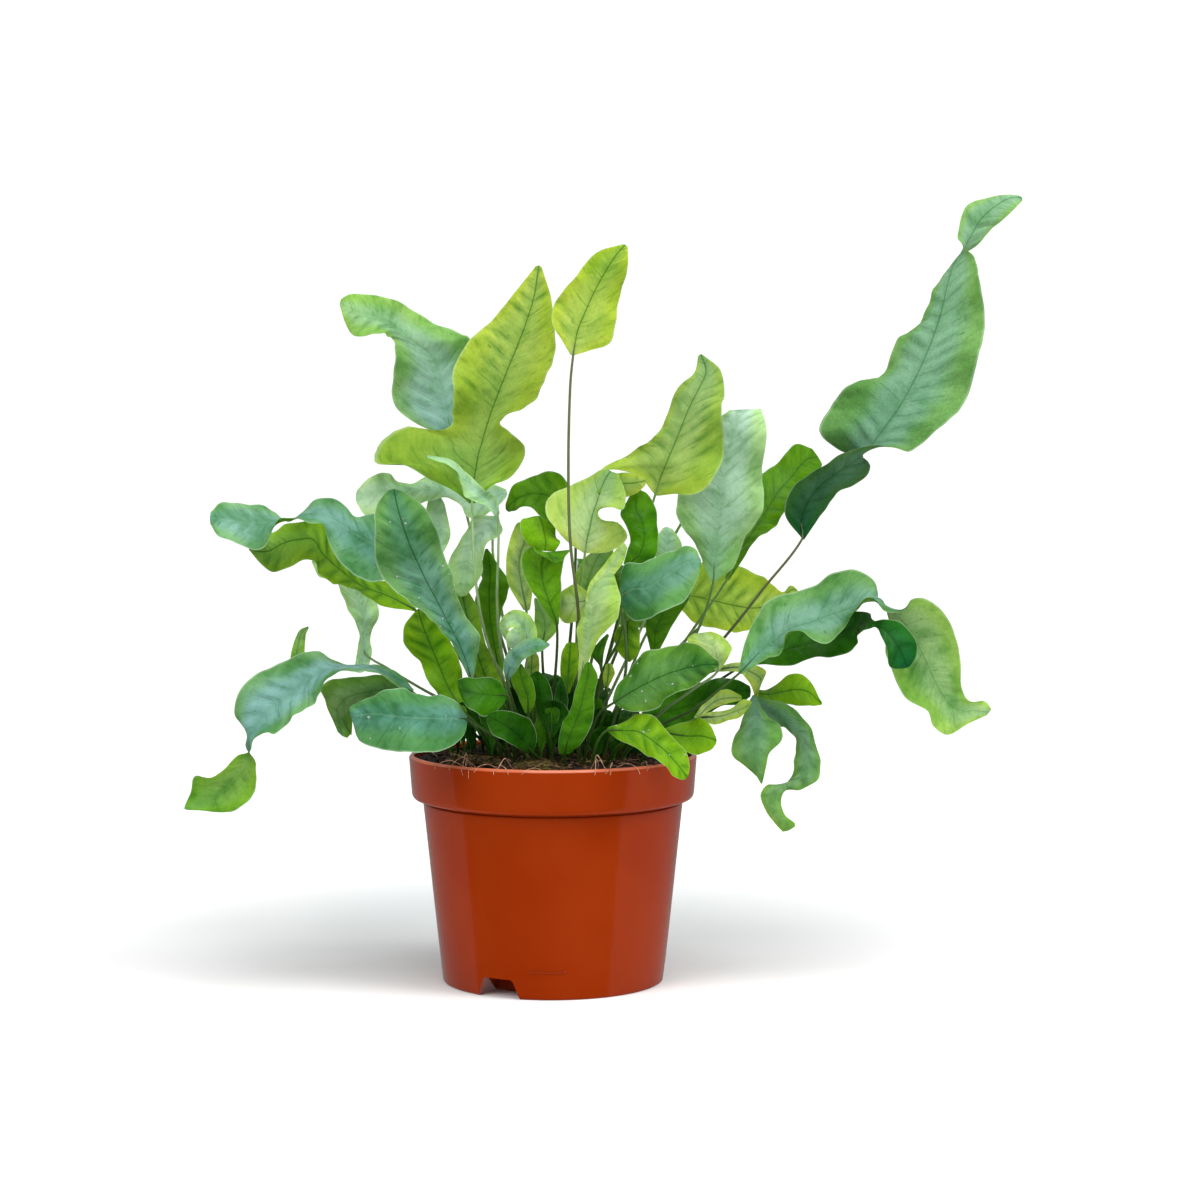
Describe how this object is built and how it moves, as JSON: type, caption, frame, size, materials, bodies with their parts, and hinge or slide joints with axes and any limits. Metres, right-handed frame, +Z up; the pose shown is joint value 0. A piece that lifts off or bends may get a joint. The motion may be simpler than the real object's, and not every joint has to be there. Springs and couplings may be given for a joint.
{
  "type": "potted fern",
  "caption": "Blue star fern in a plastic nursery pot: waved and lobed blue-green and lime fronds on thin stalks, arching out from dark soil.",
  "frame": {"origin": "middle of the pot's flat foot, on the surface that it stands on", "axes": "+Z up, +X to the right of somebody who looks at the front, +Y away from them"},
  "size_m": [0.3476, 0.1968, 0.3292],
  "materials": {
    "pot_plastic": "satin terracotta-coloured moulded plastic",
    "soil": "loose dark peat compost with fibres",
    "rhizome": "furry, scaled",
    "leaf_blue": "waxy blue-green leaf",
    "leaf_green": "semi-gloss mid green leaf",
    "leaf_dark": "semi-gloss dark green leaf",
    "leaf_lime": "semi-gloss young lime leaf",
    "leaf_pale": "pale matt leaf"
  },
  "bodies": {
    "root": {"pot": "pot_plastic", "soil": "soil", "rhizome_left": "rhizome", "rhizome_front": "rhizome", "frond_01": "leaf_lime", "frond_02": "leaf_lime", "frond_03": "leaf_blue", "frond_04": "leaf_blue", "frond_05": "leaf_blue", "frond_06": "leaf_blue", "frond_07": "leaf_green", "frond_08": "leaf_pale", "frond_09": "leaf_blue", "frond_10": "leaf_dark", "frond_11": "leaf_blue", "frond_12": "leaf_lime", "frond_13": "leaf_dark", "frond_14": "leaf_green", "frond_15": "leaf_green", "frond_16": "leaf_green", "frond_17": "leaf_blue", "frond_18": "leaf_green", "frond_19": "leaf_pale", "frond_20": "leaf_dark", "frond_21": "leaf_blue", "frond_22": "leaf_lime", "frond_23": "leaf_dark", "frond_24": "leaf_lime", "frond_25": "leaf_dark", "frond_26": "leaf_pale", "frond_27": "leaf_blue", "frond_28": "leaf_pale", "frond_29": "leaf_lime", "frond_30": "leaf_green", "frond_31": "leaf_green", "frond_32": "leaf_lime", "frond_33": "leaf_lime", "frond_34": "leaf_dark", "frond_35": "leaf_pale", "frond_36": "leaf_lime", "frond_37": "leaf_blue", "frond_38": "leaf_lime", "frond_39": "leaf_green", "frond_40": "leaf_blue", "frond_41": "leaf_dark", "frond_42": "leaf_blue", "frond_43": "leaf_green", "frond_44": "leaf_lime", "frond_45": "leaf_green", "frond_46": "leaf_green", "frond_47": "leaf_blue", "frond_48": "leaf_lime", "frond_49": "leaf_dark", "frond_50": "leaf_lime", "frond_51": "leaf_dark", "frond_52": "leaf_dark", "frond_53": "leaf_blue", "frond_54": "leaf_green", "frond_55": "leaf_blue", "frond_56": "leaf_green"}
  },
  "joints": []
}
